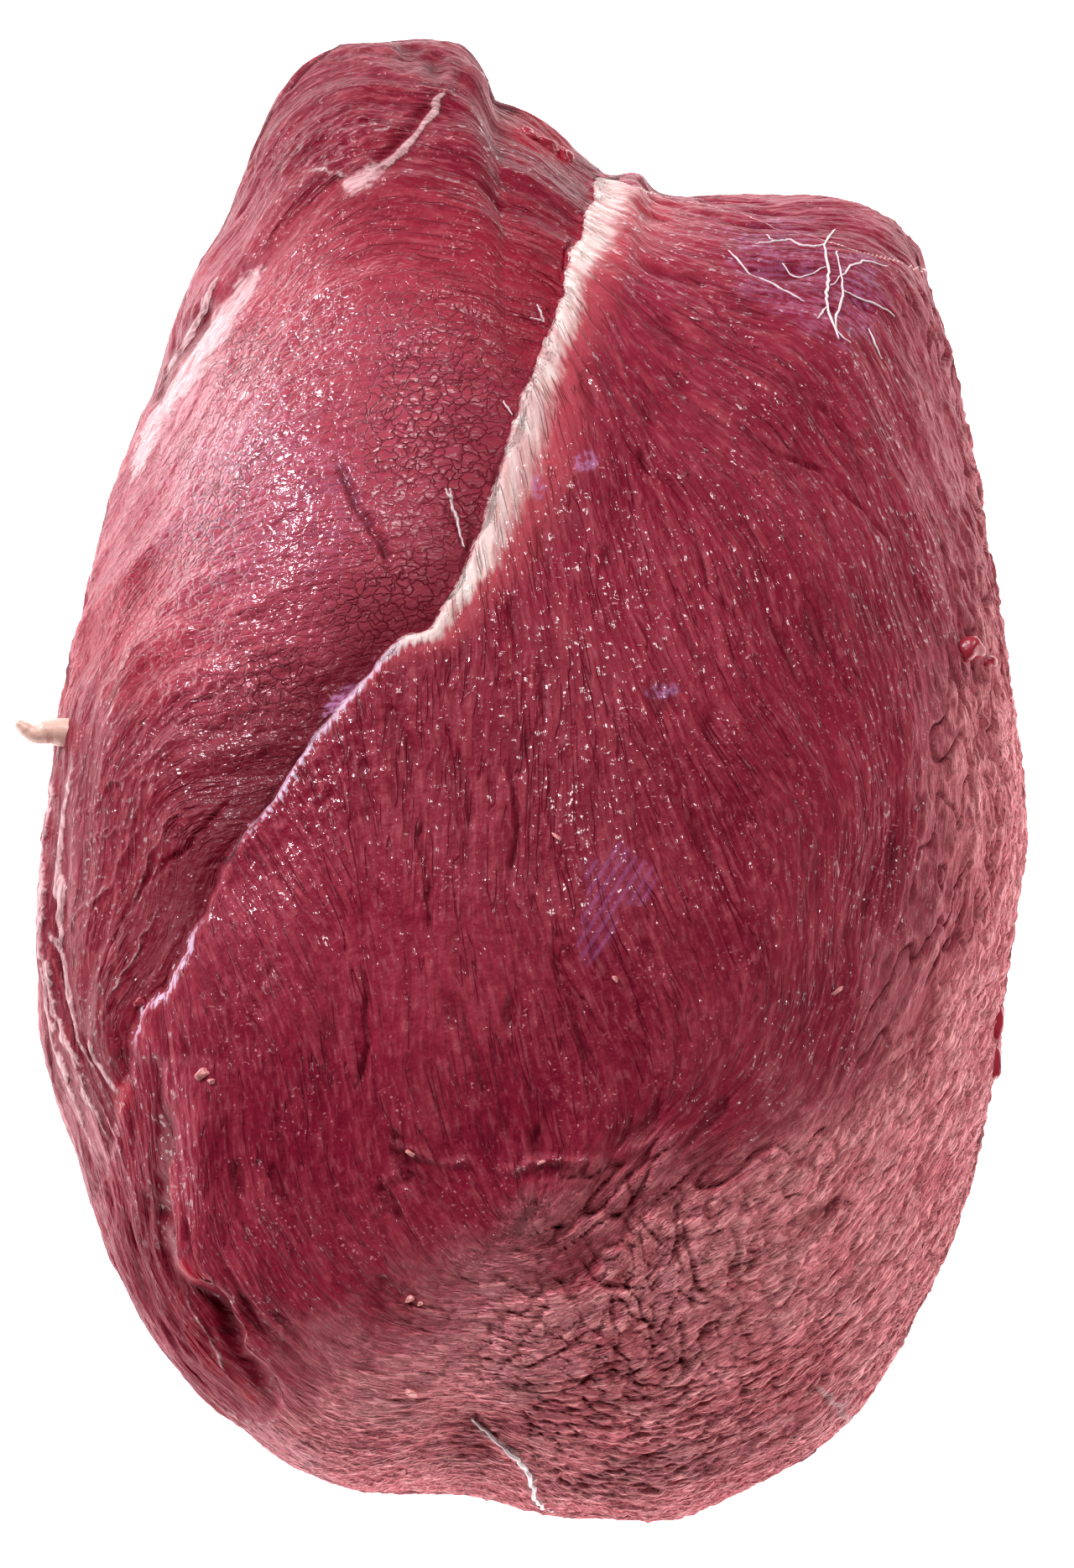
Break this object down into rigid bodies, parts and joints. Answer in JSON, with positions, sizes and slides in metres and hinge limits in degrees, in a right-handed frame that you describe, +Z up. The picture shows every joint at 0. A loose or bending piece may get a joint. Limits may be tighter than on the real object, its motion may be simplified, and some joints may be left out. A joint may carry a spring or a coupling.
{
  "type": "venison knuckle",
  "caption": "Raw boned haunch muscle lying on its underside: a rounded egg of lean red meat with a pointed end, one muscle's pale edge lapping over its neighbour.",
  "frame": {"origin": "on the table, under the middle of the piece's bounding box", "axes": "+Y along the piece towards its pointed end, +Z up from the table, +X across it to the side of the large muscle"},
  "size_m": [0.1212, 0.1936, 0.0771],
  "materials": {
    "raw_meat": "moist lean meat, glossy where wet and matt where the thin outer membrane is left on"
  },
  "bodies": {
    "root": {"knuckle": "raw_meat"}
  },
  "joints": []
}
